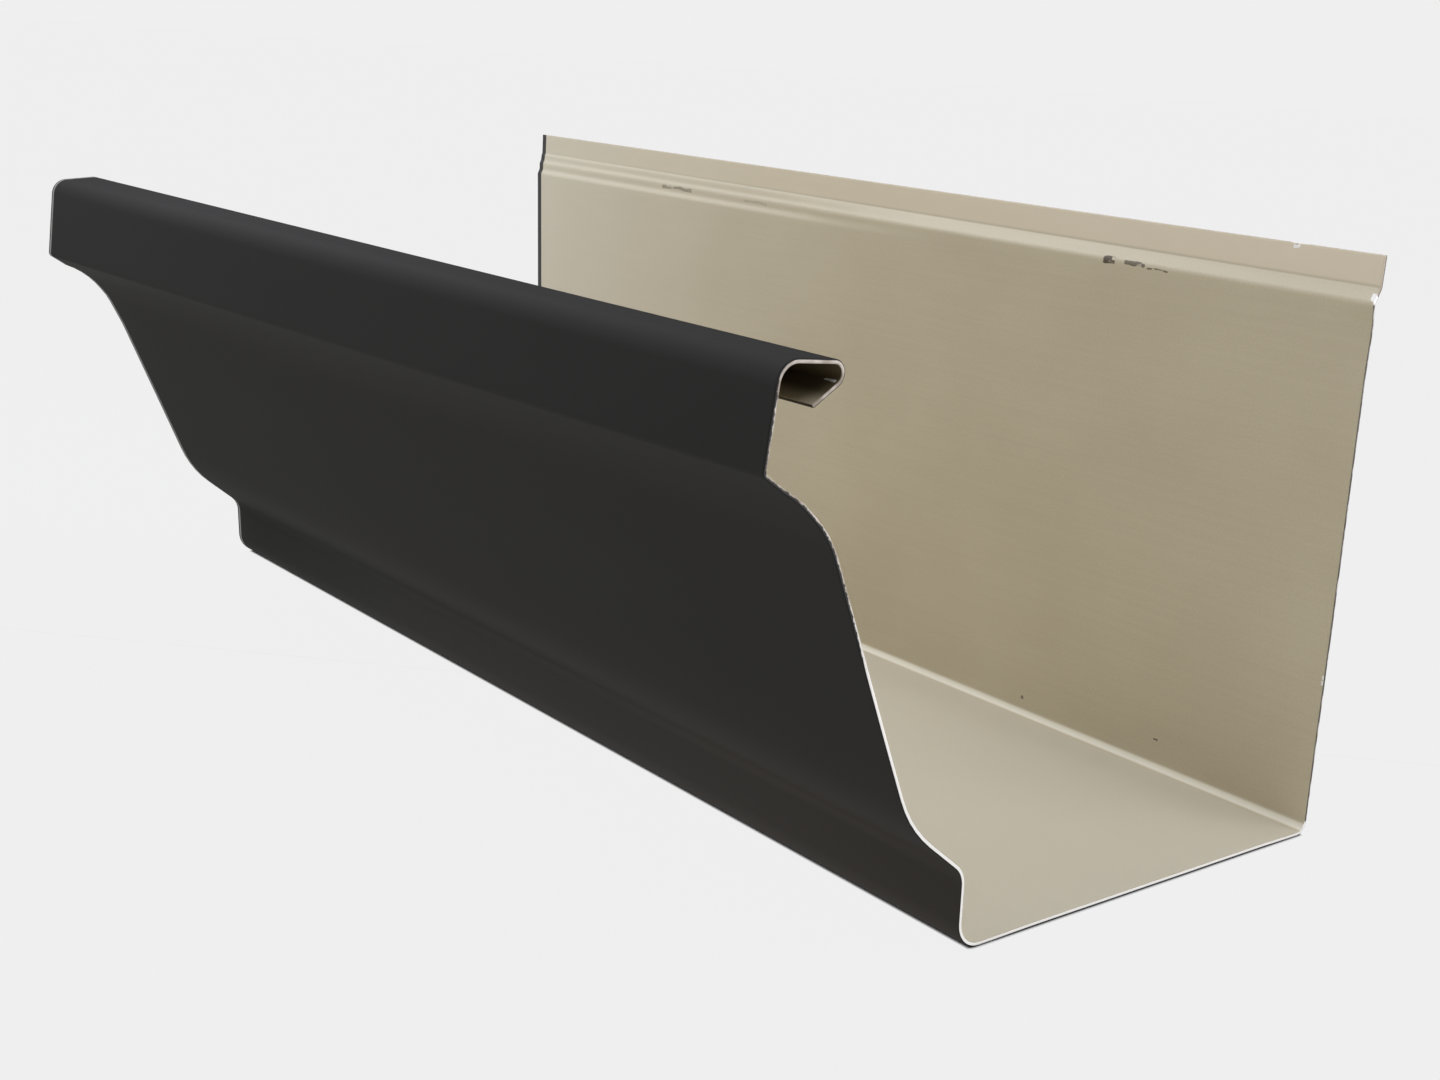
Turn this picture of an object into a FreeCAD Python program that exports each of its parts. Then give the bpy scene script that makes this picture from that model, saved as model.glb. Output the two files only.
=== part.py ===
"""Gutter section: one length of roll-formed aluminium gutter, cut square at both ends.

The piece is a single strip of sheet, bent lengthwise and open at the top.  Its front is
an ogee under a rolled bead, its floor is flat, and its back wall ends in a stepped-out
flange.  +X runs along the length, -Y is the ogee front, +Y is the wall side, +Z is up.
The origin is at the middle of the footprint, on the plane the floor rests on.
"""
import FreeCAD, Part
import math
import os
import Sketcher

# Driving dimensions: lengths in millimetres, angles in degrees.  Each leg is measured on
# the painted outer skin, between unrounded corners, and each bend is an outer-skin radius.
DIMENSIONS = (
    ("section_length", 304.8, "cut length of the piece along X"),
    ("sheet_thickness", 0.8, "thickness of the aluminium strip"),
    ("hem_return", 13.3, "strip turned back under the bead"),
    ("hem_slope", 33.5, "fall of the turned-back strip towards the front"),
    ("hem_bend", 2.3, "tight bend at the back of the bead"),
    ("bead_top", 18.3, "flat top of the bead, front to back"),
    ("bead_bend", 4.1, "rounding at the front of the bead"),
    ("lip_face", 19.6, "front face of the bead"),
    ("lip_lean", 5.6, "lean of the lip face, its foot further out than its head"),
    ("lip_bend", 1.3, "crease where the lip face turns back in"),
    ("neck_leg", 13.3, "shelf from the lip crease to the ogee"),
    ("neck_slope", 20.5, "fall of that shelf"),
    ("ogee_top_bend", 20.4, "upper, outward curve of the ogee"),
    ("ogee_leg", 63.0, "straight run down the ogee"),
    ("ogee_slope", 66.6, "fall of that run"),
    ("ogee_foot_bend", 27.0, "lower, inward curve of the ogee"),
    ("toe_leg", 18.0, "run from the ogee to the step above the floor"),
    ("toe_slope", 38.5, "fall of that run"),
    ("step_bend", 5.0, "rounding of the step"),
    ("foot_leg", 15.5, "short upright leg at the foot of the front"),
    ("foot_lean", 2.3, "lean of the upright leg, its head further out"),
    ("front_bend", 6.0, "bend from the upright leg into the floor"),
    ("floor_width", 105.0, "floor, from front corner to back corner"),
    ("back_bend", 3.0, "bend from the floor into the back wall"),
    ("wall_leg", 115.3, "back wall, from the floor up to the ledge"),
    ("wall_lean", 2.2, "inward lean of the back wall"),
    ("ledge_leg", 3.4, "sloping ledge that steps the flange outwards"),
    ("ledge_turn", 30.0, "turn of the ledge away from the back wall"),
    ("ledge_bend", 1.5, "both bends of the ledge"),
    ("flange_leg", 5.8, "upright flange above the ledge"),
)

# Legs in order along the strip, from the hem under the bead to the flange on the wall:
# name, length cell, plain heading from +Y, and the cells that turn that heading.
LEGS = (
    ("hem", "hem_return", 0, (("hem_slope", 1),)),
    ("bead", "bead_top", 180, ()),
    ("lip", "lip_face", 270, (("lip_lean", -1),)),
    ("neck", "neck_leg", 360, (("neck_slope", -1),)),
    ("ogee", "ogee_leg", 360, (("ogee_slope", -1),)),
    ("toe", "toe_leg", 360, (("toe_slope", -1),)),
    ("foot", "foot_leg", 270, (("foot_lean", 1),)),
    ("floor", "floor_width", 360, ()),
    ("wall", "wall_leg", 450, (("wall_lean", 1),)),
    ("ledge", "ledge_leg", 450, (("wall_lean", 1), ("ledge_turn", -1))),
    ("flange", "flange_leg", 450, ()),
)

# Radius cell of the bend that follows each leg but the last.
BENDS = (
    "hem_bend",
    "bead_bend",
    "lip_bend",
    "ogee_top_bend",
    "ogee_foot_bend",
    "step_bend",
    "front_bend",
    "back_bend",
    "ledge_bend",
    "ledge_bend",
)

LEG_NAMES = [leg[0] for leg in LEGS]
FLOOR = LEG_NAMES.index("floor")
LIP_CREASE = BENDS.index("lip_bend")
BACK_CORNER = BENDS.index("back_bend")

# A sketch numbers the points of an element, and gives its level axis and origin -1.
START, END, CENTRE = range(1, 4)
VALUES = {name: value for name, value, meaning in DIMENSIONS}

document = FreeCAD.newDocument("gutter_section")


def add_sheet():
    """Write each driving dimension into an aliased cell of one spreadsheet."""
    table = document.addObject("Spreadsheet::Sheet", "sheet")
    for row, (name, value, meaning) in enumerate(DIMENSIONS, start=1):
        table.set("A" + str(row), name)
        table.set("B" + str(row), str(value))
        table.set("C" + str(row), meaning)
        table.setAlias("B" + str(row), name)
    document.recompute()
    return table


def origin_plane(body, role):
    """Return the body's own origin plane that has the given role."""
    for feature in body.Origin.OriginFeatures:
        if feature.Role == role:
            return feature
    raise RuntimeError("no origin plane " + role)


def heading(leg):
    """Return a leg's heading in degrees."""
    return leg[2] + sum(sign * VALUES[cell] for cell, sign in leg[3])


def heading_text(leg):
    """Return a leg's heading as an expression on the spreadsheet."""
    text = str(leg[2])
    for cell, sign in leg[3]:
        text += (" + " if sign > 0 else " - ") + "sheet." + cell
    return text


def unit(degrees):
    """Return the unit vector of a heading in the plane of the sketch."""
    return FreeCAD.Vector(math.cos(math.radians(degrees)), math.sin(math.radians(degrees)), 0)


def skin(offset):
    """Return the lines and arcs of the skin that lies this far inside the outer one."""
    corner = FreeCAD.Vector(0, 0, 0)
    corners = [corner]
    for leg in LEGS:
        corner = corner + unit(heading(leg)) * VALUES[leg[1]]
        corners.append(corner)
    datum = corners[FLOOR] + FreeCAD.Vector(VALUES["floor_width"] / 4, 0, 0)
    corners = [corner - datum for corner in corners]
    start = corners[0] + unit(heading(LEGS[0]) + 90) * offset
    lines = []
    arcs = []
    for index, cell in enumerate(BENDS):
        before = heading(LEGS[index])
        turn = heading(LEGS[index + 1]) - before
        side = math.copysign(90, turn)
        reach = VALUES[cell] * math.tan(math.radians(abs(turn) / 2))
        bend_start = corners[index + 1] - unit(before) * reach
        centre = bend_start + unit(before + side) * VALUES[cell]
        radius = VALUES[cell] - math.copysign(offset, turn)
        points = [centre - unit(before + turn * part + side) * radius for part in (0, 0.5, 1)]
        lines.append(Part.LineSegment(start, points[0]))
        arcs.append(Part.Arc(points[0], points[1], points[2]))
        start = points[2]
    end = corners[-1] + unit(heading(LEGS[-1]) + 90) * offset
    lines.append(Part.LineSegment(start, end))
    return lines, arcs


def bend_ends(turn):
    """Return which arc point comes first along the strip, then which comes last."""
    return (START, END) if turn > 0 else (END, START)


def add_skin(sketch, offset):
    """Draw one skin and join its lines and arcs; return the indices of both."""
    lines, arcs = skin(offset)
    line_ids = [sketch.addGeometry(line, False) for line in lines]
    arc_ids = [sketch.addGeometry(arc, False) for arc in arcs]
    for index, arc_id in enumerate(arc_ids):
        turn = heading(LEGS[index + 1]) - heading(LEGS[index])
        first, last = bend_ends(turn)
        line_id = line_ids[index]
        next_id = line_ids[index + 1]
        sketch.addConstraint(Sketcher.Constraint("Tangent", line_id, END, arc_id, first))
        sketch.addConstraint(Sketcher.Constraint("Tangent", arc_id, last, next_id, START))
    return line_ids, arc_ids


def bind(sketch, constraint, name, text):
    """Add a named dimension to the sketch and bind it to the spreadsheet."""
    index = sketch.addConstraint(constraint)
    sketch.renameConstraint(index, name)
    sketch.setExpression("Constraints." + name, text)


def straight_text(index):
    """Return the straight run of a leg: its corner-to-corner length less its bends."""
    text = "sheet." + LEGS[index][1]
    for bend in (index - 1, index):
        if 0 <= bend < len(BENDS):
            turn = "(" + heading_text(LEGS[bend + 1]) + ") - (" + heading_text(LEGS[bend]) + ")"
            text += " - sheet." + BENDS[bend] + " * tan(abs(" + turn + ") / 2 * 1 deg)"
    return text


def add_profile(body):
    """Draw the strip's cross-section: both skins, and the two edges that close them."""
    sketch = body.newObject("Sketcher::SketchObject", "strip_profile")
    sketch.AttachmentSupport = [(origin_plane(body, "YZ_Plane"), "")]
    sketch.MapMode = "FlatFace"
    outer_lines, outer_arcs = add_skin(sketch, 0)
    inner_lines, inner_arcs = add_skin(sketch, VALUES["sheet_thickness"])
    for end, place in ((0, START), (-1, END)):
        outer_id = outer_lines[end]
        inner_id = inner_lines[end]
        edge = Part.LineSegment(
            sketch.getPoint(outer_id, place),
            sketch.getPoint(inner_id, place),
        )
        edge_id = sketch.addGeometry(edge, False)
        sketch.addConstraint(Sketcher.Constraint("Coincident", edge_id, START, outer_id, place))
        sketch.addConstraint(Sketcher.Constraint("Coincident", edge_id, END, inner_id, place))
        sketch.addConstraint(Sketcher.Constraint("Perpendicular", edge_id, outer_id))
        sketch.addConstraint(Sketcher.Constraint("Parallel", outer_id, inner_id))
    for index, leg in enumerate(LEGS):
        line_id = outer_lines[index]
        angle = Sketcher.Constraint("Angle", line_id, math.radians(heading(leg)))
        bind(sketch, angle, leg[0] + "_heading", "(" + heading_text(leg) + ") * 1 deg")
        length = outer_length(sketch, line_id)
        run = Sketcher.Constraint("Distance", line_id, length)
        bind(sketch, run, leg[0] + "_run", straight_text(index))
    for index, cell in enumerate(BENDS):
        outer_id = outer_arcs[index]
        inner_id = inner_arcs[index]
        name = LEGS[index][0] + "_" + LEGS[index + 1][0]
        turn = heading(LEGS[index + 1]) - heading(LEGS[index])
        sign = " - " if turn > 0 else " + "
        inner_radius = VALUES[cell] - math.copysign(VALUES["sheet_thickness"], turn)
        inner_text = "sheet." + cell + sign + "sheet.sheet_thickness"
        centres = Sketcher.Constraint("Coincident", outer_id, CENTRE, inner_id, CENTRE)
        sketch.addConstraint(centres)
        outer_bend = Sketcher.Constraint("Radius", outer_id, VALUES[cell])
        bind(sketch, outer_bend, name + "_outer", "sheet." + cell)
        inner_bend = Sketcher.Constraint("Radius", inner_id, inner_radius)
        bind(sketch, inner_bend, name + "_inner", inner_text)
    centre_profile(sketch, outer_lines, outer_arcs)
    return sketch


def outer_length(sketch, line_id):
    """Return the length of a line of the sketch."""
    return sketch.getPoint(line_id, START).distanceToPoint(sketch.getPoint(line_id, END))


def centre_profile(sketch, outer_lines, outer_arcs):
    """Rest the floor on the level axis and centre the profile's front and back on it."""
    floor_id = outer_lines[FLOOR]
    on_axis = Sketcher.Constraint("PointOnObject", floor_id, START, -1)
    sketch.addConstraint(on_axis)
    gauges = []
    for bend, side in ((LIP_CREASE, -1), (BACK_CORNER, 1)):
        arc_id = outer_arcs[bend]
        arc_centre = sketch.getPoint(arc_id, CENTRE)
        across = arc_centre.x + side * VALUES[BENDS[bend]]
        foot = FreeCAD.Vector(across, 0, 0)
        head = FreeCAD.Vector(across, VALUES["foot_leg"], 0)
        gauge_id = sketch.addGeometry(Part.LineSegment(foot, head), True)
        sketch.addConstraint(Sketcher.Constraint("Vertical", gauge_id))
        sketch.addConstraint(Sketcher.Constraint("Tangent", gauge_id, arc_id))
        height = Sketcher.Constraint("Distance", gauge_id, VALUES["foot_leg"])
        bind(sketch, height, BENDS[bend] + "_gauge", "sheet.foot_leg")
        gauges.append(gauge_id)
    front, back = gauges
    sketch.addConstraint(Sketcher.Constraint("PointOnObject", front, START, -1))
    sketch.addConstraint(Sketcher.Constraint("Symmetric", front, START, back, START, -1, START))


def add_gutter():
    """Build the bent strip as one body."""
    body = document.addObject("PartDesign::Body", "gutter_section")
    body.Label = "gutter_section"
    sketch = add_profile(body)
    document.recompute()
    strip = body.newObject("PartDesign::Pad", "strip")
    strip.Profile = sketch
    strip.SideType = "Symmetric"
    strip.setExpression("Length", "sheet.section_length")
    sketch.Visibility = False
    document.recompute()
    return body


def check(shape_objects):
    """Stop with a message when any object is in error or has a bad shape."""
    for item in document.Objects:
        if "Invalid" in item.State or "Error" in item.State:
            raise RuntimeError(item.Name + " is in error")
    for item in shape_objects:
        if item.Shape.isNull() or not item.Shape.isValid():
            raise RuntimeError(item.Name + " has no valid shape")
        if len(item.Shape.Solids) != 1:
            raise RuntimeError(item.Name + " is not one solid")


add_sheet()
gutter = add_gutter()
check([gutter])
os.makedirs("parts", exist_ok=True)
gutter.Shape.exportStep("parts/" + gutter.Label + ".step")
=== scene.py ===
"""Dresses the gutter section: forms the bent strip, coats it, and sets it on a stage."""
import math
from collections import namedtuple

import bmesh
import bpy
from bpy.props import FloatProperty, FloatVectorProperty, IntProperty, PointerProperty
from mathutils import Matrix, Vector, noise


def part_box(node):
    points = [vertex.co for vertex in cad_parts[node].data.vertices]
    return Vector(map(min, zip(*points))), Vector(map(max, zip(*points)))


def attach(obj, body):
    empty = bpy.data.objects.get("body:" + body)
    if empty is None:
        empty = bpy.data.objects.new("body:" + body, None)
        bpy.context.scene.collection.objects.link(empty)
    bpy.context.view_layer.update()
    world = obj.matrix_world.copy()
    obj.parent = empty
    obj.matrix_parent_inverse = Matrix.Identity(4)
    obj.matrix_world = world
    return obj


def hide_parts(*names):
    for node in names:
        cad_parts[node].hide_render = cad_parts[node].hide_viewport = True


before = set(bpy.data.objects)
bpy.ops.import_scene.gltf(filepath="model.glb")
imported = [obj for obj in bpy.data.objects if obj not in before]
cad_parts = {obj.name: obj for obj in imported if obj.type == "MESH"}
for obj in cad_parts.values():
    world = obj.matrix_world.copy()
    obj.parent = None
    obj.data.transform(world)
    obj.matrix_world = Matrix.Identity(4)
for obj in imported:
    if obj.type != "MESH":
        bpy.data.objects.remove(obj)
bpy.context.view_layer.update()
node_low, node_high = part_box("gutter_section")

bl_info = {
    "name": "Gutter Section",
    "version": (1, 0, 0),
    "blender": (4, 5, 0),
    "location": "View3D > Sidebar > Gutter",
    "description": "Forms a coated ogee gutter section, weathers it and sets it on a stage",
    "category": "Add Mesh",
}

MM = 0.001

# The finishes, in the order of the strip's material slots.
PAINT, WASH, BARE, SLIT = range(4)

# The strip runs from its far end, at -X, to its near end, which faces the camera.
FAR_END, NEAR_END = node_low[0], node_high[0]

# Spacing of the points along a skin, on its plain runs and on its worn stretches.
PLAIN_STEP = 4 * MM
WORN_STEP = 0.4 * MM

# Faces that meet at more than this are shaded as a sharp edge.
SHARP_FROM = math.radians(50)

# A bend is divided about every so many degrees, and into so many parts at least.
BEND_STEP = 7
LEAST_BEND_STEPS = 5

# Waves per metre along and across the strip, of the slow wave and of the ragged cuts.
SLOW_ALONG, SLOW_ACROSS = 9, 14
RAGGED_ALONG, RAGGED_ACROSS = 50, 70

# The Mix node's sockets share their names, so they go by number: colours, then values.
MIX_UNDER, MIX_OVER, MIX_OUT = 6, 7, 2
BLEND_UNDER, BLEND_OVER = 2, 3

# Where each leg's straight run starts and ends, measured round the outer skin.
Runs = namedtuple("Runs", "hem bead lip neck ogee toe foot pan wall ledge flange")


def linear(code):
    """Turn an sRGB hex colour into linear red, green and blue."""
    channels = [int(code[place:place + 2], 16) / 255 for place in (1, 3, 5)]
    return [c / 12.92 if c <= 0.04045 else ((c + 0.055) / 1.055) ** 2.4 for c in channels]


def length(name, description, millimetres):
    """Make a length property whose default is given in millimetres."""
    return FloatProperty(
        name=name, description=description, default=millimetres * MM, unit="LENGTH", precision=5
    )


def angle(name, description, degrees):
    """Make an angle property whose default is given in degrees."""
    return FloatProperty(
        name=name, description=description, default=math.radians(degrees), subtype="ANGLE"
    )


def colour(name, description, code):
    """Make a colour property whose default is given as an sRGB hex code."""
    return FloatVectorProperty(
        name=name, description=description, default=linear(code), subtype="COLOR", min=0, max=1
    )


def share(name, description, amount):
    """Make a property for how strongly a colour covers what lies under it."""
    return FloatProperty(
        name=name, description=description, default=amount, min=0, max=1, subtype="FACTOR"
    )


class GutterProfile(bpy.types.PropertyGroup):
    """Sizes of the bent strip, measured on its painted outer skin."""

    sheet: length("Sheet", "Thickness of the aluminium sheet", 0.8)
    hem_return: length("Hem return", "Strip turned back under the bead", 13.3)
    hem_slope: angle("Hem slope", "Fall of the turned-back strip", 33.5)
    hem_bend: length("Hem bend", "Tight bend at the back of the bead", 2.3)
    bead_top: length("Bead top", "Flat top of the bead", 18.3)
    bead_bend: length("Bead bend", "Rounding at the front of the bead", 4.1)
    lip_face: length("Lip face", "Front face of the bead", 19.6)
    lip_lean: angle("Lip lean", "Lean of the lip face", 5.6)
    lip_bend: length("Lip bend", "Crease under the lip face", 1.3)
    neck_leg: length("Neck", "Shelf from the lip crease to the ogee", 13.3)
    neck_slope: angle("Neck slope", "Fall of the shelf", 20.5)
    ogee_top_bend: length("Ogee top bend", "Outward curve of the ogee", 20.4)
    ogee_leg: length("Ogee", "Straight run down the ogee", 63.0)
    ogee_slope: angle("Ogee slope", "Fall of the ogee's run", 66.6)
    ogee_foot_bend: length("Ogee foot bend", "Inward curve of the ogee", 27.0)
    toe_leg: length("Toe", "Run from the ogee to the step", 18.0)
    toe_slope: angle("Toe slope", "Fall of the toe", 38.5)
    step_bend: length("Step bend", "Rounding of the step", 5.0)
    foot_leg: length("Foot", "Upright leg at the foot of the front", 15.5)
    foot_lean: angle("Foot lean", "Lean of the upright leg", 2.3)
    front_bend: length("Front bend", "Bend from the foot into the floor", 6.0)
    floor_width: length("Floor", "Floor from corner to corner", 105.0)
    back_bend: length("Back bend", "Bend from the floor into the wall", 3.0)
    wall_leg: length("Wall", "Back wall up to the ledge", 115.3)
    wall_lean: angle("Wall lean", "Inward lean of the back wall", 2.2)
    ledge_leg: length("Ledge", "Sloping ledge under the flange", 3.4)
    ledge_turn: angle("Ledge turn", "Turn of the ledge away from the wall", 30.0)
    ledge_bend: length("Ledge bend", "Both bends of the ledge", 1.5)
    flange_leg: length("Flange", "Upright flange above the ledge", 5.8)
    slices: IntProperty(
        name="Slices", description="Divisions along the length", default=120, min=8, max=400
    )


class GutterWear(bpy.types.PropertyGroup):
    """Sizes of the marks that rolling, cutting and handling left on the strip."""

    waviness: length("Waviness", "Slow wave left in the flat runs", 0.22)
    ragged: length("Ragged cut", "Waviness of the two cut ends", 0.12)
    edge_roll: length("Edge roll", "Roll-over of the painted skin at the cut ends", 0.2)
    edge_break: length("Edge break", "Softening of the sheared inner edges", 0.06)
    rolled_step: length("Rolled step", "Second step under the ledge, at the far end", 0.7)
    lip_droop: length("Lip droop", "Droop of the lip's crease at the far end", 1.3)
    neck_droop: length("Neck droop", "Droop of the shelf at the far end", 2.2)
    lip_rise: length("Lip rise", "Rise of the lip's crease at the near end", 2.2)
    bead_twist: length("Bead twist", "Fall and rise of the bead's front at the two ends", 0.7)
    flange_fall: length("Flange fall", "How much lower the flange's edge is at the near end", 1.3)
    ledge_fall: length("Ledge fall", "How much lower the ledge is at the near end", 2.0)
    pan_lift: length("Pan lift", "Lift of the floor between its two corners", 0.3)
    nick_place: length("Nick place", "Where the flange is nicked, along the length", 131.6)
    nick_depth: length("Nick depth", "Depth of the nick in the flange", 0.4)
    dent_depth: length("Dent depth", "Depth of the dent beside the nick", 0.12)
    edge_bulge: length("Edge bulge", "Bulge of the wall's cut edge under the ledge", 0.45)


class GutterColours(bpy.types.PropertyGroup):
    """Colours of the coatings, the metal, the dirt and the stage, and how much they show."""

    paint: colour("Paint", "Charcoal paint on the outer skin", "#302f2e")
    # Lighter paint for the painted highlights on the bead and the foot, and for the pale line at
    # the far rim.
    paint_highlight: colour("Rubbed paint", "Paint polished or scratched along an edge", "#8a8a88")
    wash: colour("Wash coat", "Beige wash coat on the inner skin", "#ccc2a8")
    wash_dark: colour("Wash coat, thin", "Wash coat where it is thinner", "#bfb399")
    # Pale wash coat for the painted highlights on the bends.
    wash_highlight: colour("Wash coat, pale", "Wash coat stretched pale in a bend", "#f0ebd9")
    # Greyed wash coat for the painted cool light on the floor and the painted sheen at the far
    # end.
    wash_lit_grey: colour("Wash coat, greyed", "Wash coat greyed by silt and weather", "#c7c0ae")
    # The flange's colour, paler and pinkish.
    flange_tint: colour("Flange", "Wash coat on the flange, rubbed and pinkish", "#dfd3bc")
    chip: colour("Chip", "Old dirt in the chips of the wash coat", "#4a3f30")
    # Painted shade inside the hem.
    hem_painted_shade: colour("Hollow", "Grime inside the hem", "#574c37")
    bare: colour("Bare aluminium", "Fresh cut edge", "#fbf9f6")
    dulled_cut: colour("Tarnish", "Dulled cut edge around the lip", "#94897f")
    slit: colour("Slit edge", "Edge left by slitting the coil", "#9a8468")
    # The colour of the dust specks, and of the painted warm reflection low on the front.
    dust_and_reflection: colour("Dust", "Brown bench dust low on the front", "#5a4a3a")
    backdrop: colour("Backdrop", "Floor and background", "#efefef")
    # How strongly the painted warm reflection shows low on the front.
    warm_reflection_share: share("Dust share", "Dust low on the near end of the front", 0.12)
    # How strongly the bead's painted highlight shows, and how much glossier the bead is.
    bead_polish_and_highlight: share("Bead polish", "Rubbed paint along the bead", 0.025)
    # How strongly the foot's painted sheen shows, and how much glossier the foot is.
    foot_polish_and_sheen: share("Foot polish", "Rubbed paint along the foot", 0.045)
    # Painted shade in the recess of the toe.
    toe_shade: share("Toe shade", "Dark, unrubbed paint tucked in at the toe", 0.35)
    speck_share: share("Speck share", "Dust in the specks of the paint", 0.5)
    # How strongly the floor is greyed as painted cool light.
    floor_cool_light: share("Floor silt", "Greying of the floor", 0.7)
    # How strongly the far end of the wall is greyed as painted sheen.
    far_reflection_grey: share("Far silt", "Greying of the wall at the far end", 0.8)
    # How strongly the back corner shows its painted highlight.
    crease_highlight: share("Pale crease", "Paling of the wash coat in the back corner", 0.75)
    # How strongly the ledge shows its painted highlight.
    ledge_highlight: share("Pale ledge", "Paling of the wash coat on the ledge", 0.16)
    dragged: share("Dragged paint", "How far the shear dragged paint over the lip's edge", 0.62)


class GutterView(bpy.types.PropertyGroup):
    """Where the camera stands, and which way it looks."""

    across: length("Across", "Camera's place along the gutter", 359.1)
    front: length("Front", "How far the camera stands in front of the gutter's middle", 249.4)
    height: length("Height", "Height of the camera above the floor", 150.1)
    bearing: angle("Bearing", "Turn of the view from straight back towards the far end", 49.04)
    dip: angle("Dip", "Fall of the view below level", 16.24)
    roll: angle("Roll", "Lean of the camera to its side", 4.14)
    lens: FloatProperty(
        name="Lens", description="Focal length", default=46.4, unit="CAMERA", min=10, max=200
    )
    shift_across: FloatProperty(name="Shift across", description="Sideways shift", default=-0.0536)
    shift_up: FloatProperty(name="Shift up", description="Upward shift", default=0.0474)


# ------------------------------------------------------------------------- the strip


def heading(turn):
    """Return the unit vector across the strip that points this way from +Y."""
    return Vector((0, math.cos(turn), math.sin(turn)))


def strip_legs(size):
    """Return each leg's length, heading and finely divided last stretch, in order."""
    quarter = math.radians(90)
    wall = 5 * quarter + size.wall_lean
    under_ledge = 6 * MM
    return (
        (size.hem_return, size.hem_slope, 0),
        (size.bead_top, 2 * quarter, 0),
        (size.lip_face, 3 * quarter - size.lip_lean, 0),
        (size.neck_leg, 4 * quarter - size.neck_slope, 0),
        (size.ogee_leg, 4 * quarter - size.ogee_slope, 0),
        (size.toe_leg, 4 * quarter - size.toe_slope, 0),
        (size.foot_leg, 3 * quarter + size.foot_lean, 0),
        (size.floor_width, 4 * quarter, 0),
        (size.wall_leg, wall, under_ledge),
        (size.ledge_leg, wall - size.ledge_turn, size.ledge_leg),
        (size.flange_leg, 5 * quarter, size.flange_leg),
    )


def strip_bends(size):
    """Return the radius of the bend after each leg but the last."""
    return (
        size.hem_bend,
        size.bead_bend,
        size.lip_bend,
        size.ogee_top_bend,
        size.ogee_foot_bend,
        size.step_bend,
        size.front_bend,
        size.back_bend,
        size.ledge_bend,
        size.ledge_bend,
    )


def strip_runs(size):
    """Return where each leg's straight run starts and ends."""
    legs = strip_legs(size)
    bends = strip_bends(size)
    walked = setback = 0
    runs = []
    for index, (reach, way, _) in enumerate(legs):
        turn = abs(legs[index + 1][1] - way) if index < len(bends) else 0
        radius = bends[index] if index < len(bends) else 0
        run = reach - setback - radius * math.tan(turn / 2)
        runs.append((walked, walked + run))
        walked += run + radius * turn
        setback = radius * math.tan(turn / 2)
    return Runs(*runs)


def stretch(mesh, tip, way, run, spacing):
    """Extrude a chain's tip along a straight run in even steps; return the new tip."""
    steps = max(1, round(run / spacing))
    for _ in range(steps):
        tip = bmesh.ops.extrude_vert_indiv(mesh, verts=[tip])["verts"][0]
        bmesh.ops.translate(mesh, verts=[tip], vec=heading(way) * (run / steps))
    return tip


def lay_skin(mesh, size, inset):
    """Draw one skin as a chain of edges, run by run and bend by bend; return its points."""
    legs = strip_legs(size)
    bends = strip_bends(size)
    first = tip = mesh.verts.new(heading(legs[0][1] + math.radians(90)) * inset)
    for index, ((start, end), (_, way, fine)) in enumerate(zip(strip_runs(size), legs)):
        run = end - start
        fine = min(fine, run)
        if run > fine:
            tip = stretch(mesh, tip, way, run - fine, PLAIN_STEP)
        if fine:
            tip = stretch(mesh, tip, way, fine, WORN_STEP)
        if index < len(bends):
            turn = legs[index + 1][1] - way
            side = math.copysign(math.radians(90), turn)
            arc = bends[index] - math.copysign(inset, turn)
            spun = bmesh.ops.spin(
                mesh,
                geom=[tip],
                cent=tip.co + heading(way + side) * arc,
                axis=(1, 0, 0),
                dvec=(0, 0, 0),
                angle=turn,
                steps=max(LEAST_BEND_STEPS, round(math.degrees(abs(turn)) / BEND_STEP)),
                use_merge=False,
                use_normal_flip=False,
                use_duplicate=False,
            )
            tip = [item for item in spun["geom_last"] if isinstance(item, bmesh.types.BMVert)][0]
    points = [first]
    edge = first.link_edges[0]
    while edge:
        points.append(edge.other_vert(points[-1]))
        onward = [link for link in points[-1].link_edges if link != edge]
        edge = onward[0] if onward else None
    return points


def form_strip(size):
    """Return a mesh of the strip with its two skins and all its cut edges.

    Two layers go with it: how far round the section a point is, and how deep in the
    sheet, from 0 on the painted skin to 1 on the washed one.
    """
    mesh = bmesh.new()
    around = mesh.verts.layers.float.new("around")
    depth = mesh.verts.layers.float.new("depth")
    outer = lay_skin(mesh, size, 0)
    inner = lay_skin(mesh, size, size.sheet)
    walked = 0
    for index, (out_point, in_point) in enumerate(zip(outer, inner)):
        if index:
            walked += (out_point.co - outer[index - 1].co).length
        out_point[around] = in_point[around] = walked
        in_point[depth] = 1
    bmesh.ops.bridge_loops(mesh, edges=mesh.edges[:])
    low_y = min(vert.co.y for vert in mesh.verts)
    high_z = max(vert.co.z for vert in mesh.verts)
    place = Vector((FAR_END, node_low[1] - low_y, node_high[2] - high_z))
    bmesh.ops.translate(mesh, verts=mesh.verts[:], vec=place)
    end = bmesh.ops.extrude_face_region(mesh, geom=mesh.faces[:], use_keep_orig=True)
    end_verts = [item for item in end["geom"] if isinstance(item, bmesh.types.BMVert)]
    reach = NEAR_END - FAR_END
    bmesh.ops.translate(mesh, verts=end_verts, vec=(reach, 0, 0))
    long_edges = [
        edge for edge in mesh.edges if abs(edge.verts[0].co.x - edge.verts[1].co.x) > reach / 2
    ]
    bmesh.ops.subdivide_edges(mesh, edges=long_edges, cuts=size.slices - 1, use_grid_fill=True)
    bmesh.ops.recalc_face_normals(mesh, faces=mesh.faces[:])
    return mesh, around, depth


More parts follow.
